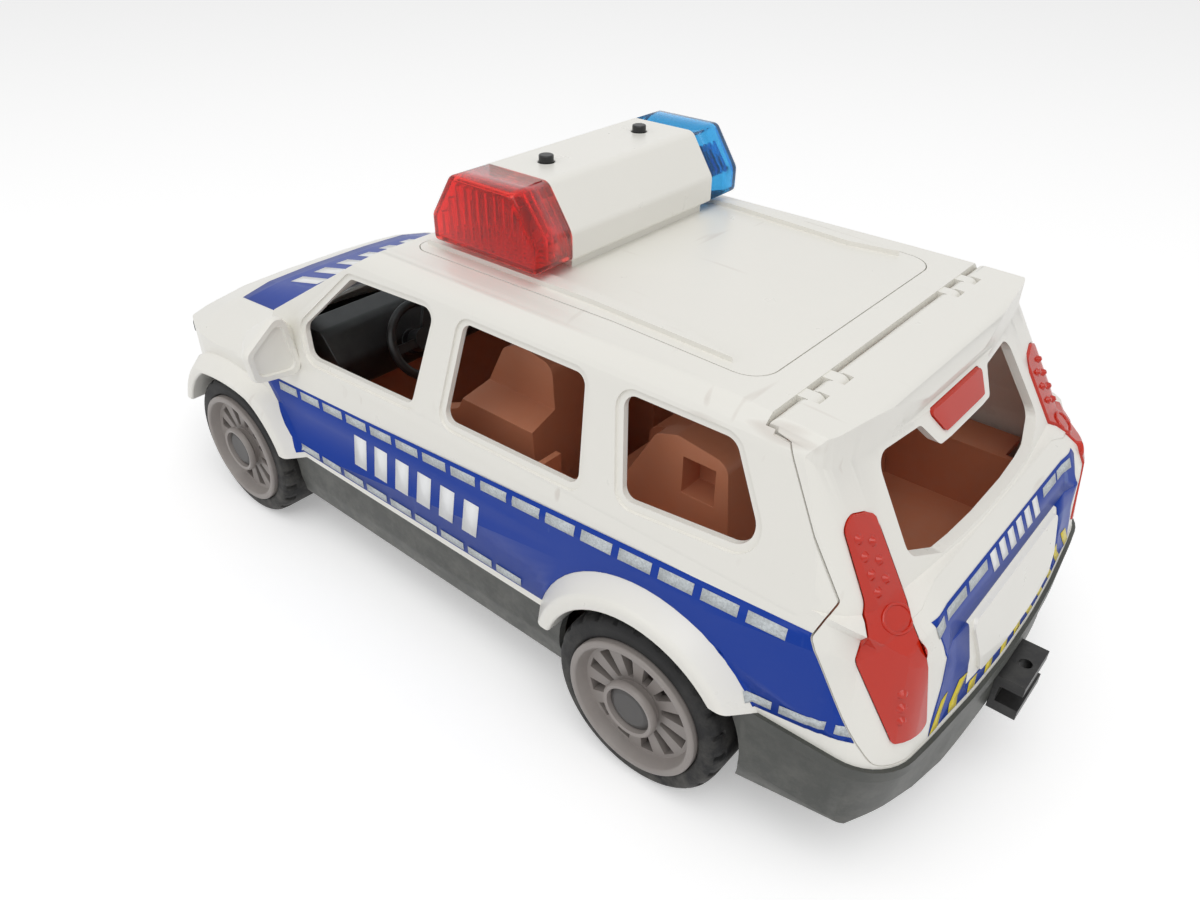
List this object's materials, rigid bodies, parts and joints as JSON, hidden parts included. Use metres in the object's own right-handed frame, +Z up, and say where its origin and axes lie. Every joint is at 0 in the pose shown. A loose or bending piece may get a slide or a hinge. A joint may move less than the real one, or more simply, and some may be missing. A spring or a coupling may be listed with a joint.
{
  "type": "toy police car",
  "caption": "Toy police estate car with free-rolling wheels, lift-off roof carrying a light bar with push buttons, opening tailgate, seats, turning steering wheel and tow hitch.",
  "frame": {"origin": "centre of the footprint, on the ground under the tyres", "axes": "+X forward to the nose, +Y to the car's left, +Z up"},
  "size_m": [0.304, 0.1516, 0.135],
  "materials": {
    "white_plastic": "glossy with a fine mould texture",
    "inner_white_plastic": "satin",
    "charcoal_plastic": "satin",
    "brown_plastic": "satin",
    "dark_plastic": "satin",
    "black_plastic": "satin",
    "clear_plastic": "clear",
    "red_clear_plastic": "clear, tinted",
    "blue_clear_plastic": "clear, tinted",
    "red_led_resin": "clear resin",
    "blue_led_resin": "clear resin",
    "board": "satin",
    "cell_steel": "glossy sleeve",
    "contact_brass": "plated",
    "steel": "plain",
    "grey_plastic": "satin",
    "cap_plastic": "satin",
    "tyre_rubber": "matte"
  },
  "bodies": {
    "car": {"chassis": "charcoal_plastic", "body_shell": "white_plastic", "cabin_tub": "brown_plastic", "driver_seat": "brown_plastic", "passenger_seat": "brown_plastic", "rear_bench": "brown_plastic", "dashboard": "dark_plastic", "windscreen": "clear_plastic", "headlight_left": "clear_plastic", "headlight_right": "clear_plastic", "grille": "dark_plastic", "mirror_left": "white_plastic", "mirror_right": "white_plastic", "tow_hitch": "black_plastic", "chassis_screws": "steel", "hinge_pins": "steel"},
    "steering": {"steering_wheel": "black_plastic"},
    "tailgate_set": {"tailgate": "white_plastic", "tail_light_left": "red_clear_plastic", "tail_light_right": "red_clear_plastic", "brake_light": "red_clear_plastic"},
    "roof": {"roof_panel": "white_plastic", "light_bar_housing": "white_plastic", "light_bar_frame": "inner_white_plastic", "red_lens": "red_clear_plastic", "blue_lens": "blue_clear_plastic", "circuit_board": "board", "red_led": "red_led_resin", "blue_led": "blue_led_resin", "sounder": "black_plastic", "batteries": "cell_steel", "battery_contacts": "contact_brass", "battery_door": "inner_white_plastic", "battery_door_screws": "steel"},
    "light_switch": {"light_button": "black_plastic"},
    "sound_switch": {"sound_button": "black_plastic"},
    "front_wheel_set": {"front_axle": "steel", "front_rims": "grey_plastic", "front_tyres": "tyre_rubber", "front_hub_caps": "cap_plastic"},
    "rear_wheel_set": {"rear_axle": "steel", "rear_rims": "grey_plastic", "rear_tyres": "tyre_rubber", "rear_hub_caps": "cap_plastic"}
  },
  "joints": [
    {"name": "front_axle_spin", "type": "hinge", "parent": "car", "child": "front_wheel_set", "pos_m": [0.092, 0, 0.025], "axis": [0, 1, 0], "continuous": true},
    {"name": "rear_axle_spin", "type": "hinge", "parent": "car", "child": "rear_wheel_set", "pos_m": [-0.08, 0, 0.025], "axis": [0, 1, 0], "continuous": true},
    {"name": "tailgate_hinge", "type": "hinge", "parent": "car", "child": "tailgate_set", "pos_m": [-0.1017, 0, 0.1071], "axis": [0, 1, 0], "range_deg": [0, 75]},
    {"name": "roof_lift", "type": "slide", "parent": "car", "child": "roof", "axis": [0, 0, 1], "range_m": [0, 0.06]},
    {"name": "steering_turn", "type": "hinge", "parent": "car", "child": "steering", "pos_m": [0.037, 0.0256, 0.07], "axis": [0.9063, 0, -0.4226], "continuous": true},
    {"name": "light_button_press", "type": "slide", "parent": "roof", "child": "light_switch", "axis": [0, 0, -1], "range_m": [0, 0.001], "stiffness_N_per_m": 400, "springref_m": -0.001},
    {"name": "sound_button_press", "type": "slide", "parent": "roof", "child": "sound_switch", "axis": [0, 0, -1], "range_m": [0, 0.001], "stiffness_N_per_m": 400, "springref_m": -0.001}
  ]
}
